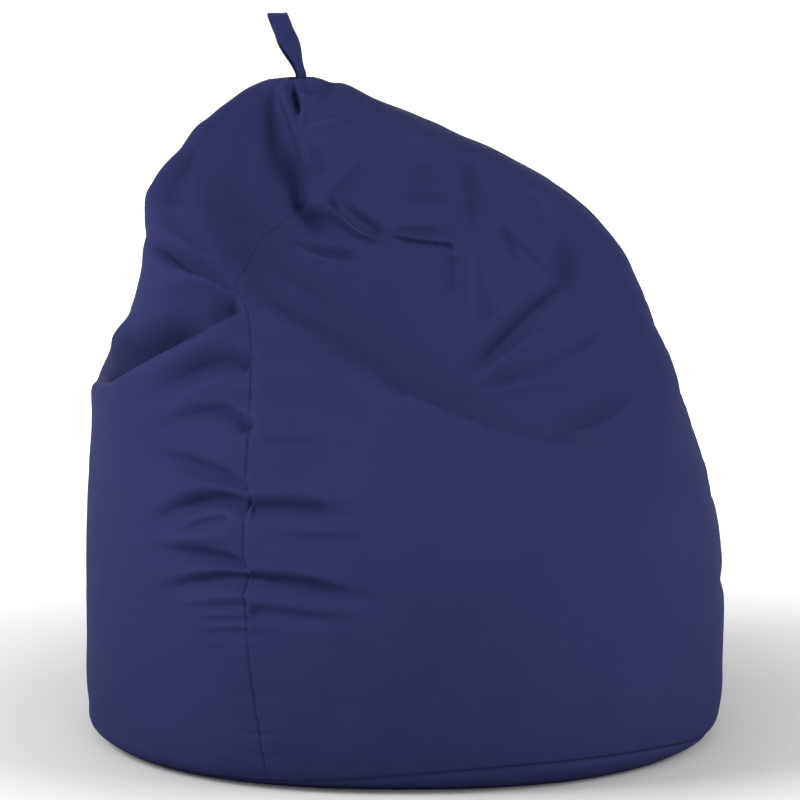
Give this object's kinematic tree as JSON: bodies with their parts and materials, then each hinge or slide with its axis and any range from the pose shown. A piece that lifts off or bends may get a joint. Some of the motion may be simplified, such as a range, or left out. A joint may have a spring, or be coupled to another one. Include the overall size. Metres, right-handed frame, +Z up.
{
  "type": "giant bean bag",
  "caption": "Pear-shaped lounging bean bag in smooth coated cloth, sat into so a deep seat hollow stays, with puckered long seams, a flat base and a hanging loop.",
  "frame": {"origin": "middle of the flat base, on the surface that the bag stands on", "axes": "+Z up, +X to the right of someone who faces the seat hollow, +Y to the back"},
  "size_m": [0.8999, 0.9224, 0.9943],
  "materials": {
    "leatherette": "smooth navy coated cloth with a fine grain and a soft, nearly matt sheen",
    "loop_strip": "the same coated cloth, folded and sewn into a strip"
  },
  "bodies": {
    "root": {"side_panel_front": "leatherette", "side_panel_left": "leatherette", "side_panel_back": "leatherette", "base_panel": "leatherette", "hanging_loop": "loop_strip"}
  },
  "joints": []
}
